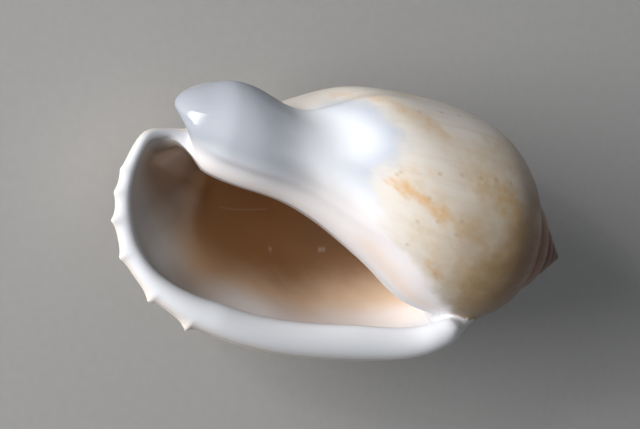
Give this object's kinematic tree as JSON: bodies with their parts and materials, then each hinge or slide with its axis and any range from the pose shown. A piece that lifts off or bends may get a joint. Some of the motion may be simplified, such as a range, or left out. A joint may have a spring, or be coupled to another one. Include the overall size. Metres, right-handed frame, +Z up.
{
  "type": "bonnet shell",
  "caption": "Empty sea snail shell lying on its back: short coiled spire, large smooth last whorl, long open mouth with a rounded, toothed lip.",
  "frame": {"origin": "centre of the bounding box in plan, at the level of the worn flat on the back that the shell rests on", "axes": "+X along the coiling axis towards the tip of the spire, +Y away from the outer lip, +Z up out of the mouth"},
  "size_m": [0.056, 0.0326, 0.027],
  "materials": {
    "shell_wall": "glossy porcelain-like shell, white callus, cream whorl with faint tan flames, brown inside"
  },
  "bodies": {
    "root": {"shell": "shell_wall"}
  },
  "joints": []
}
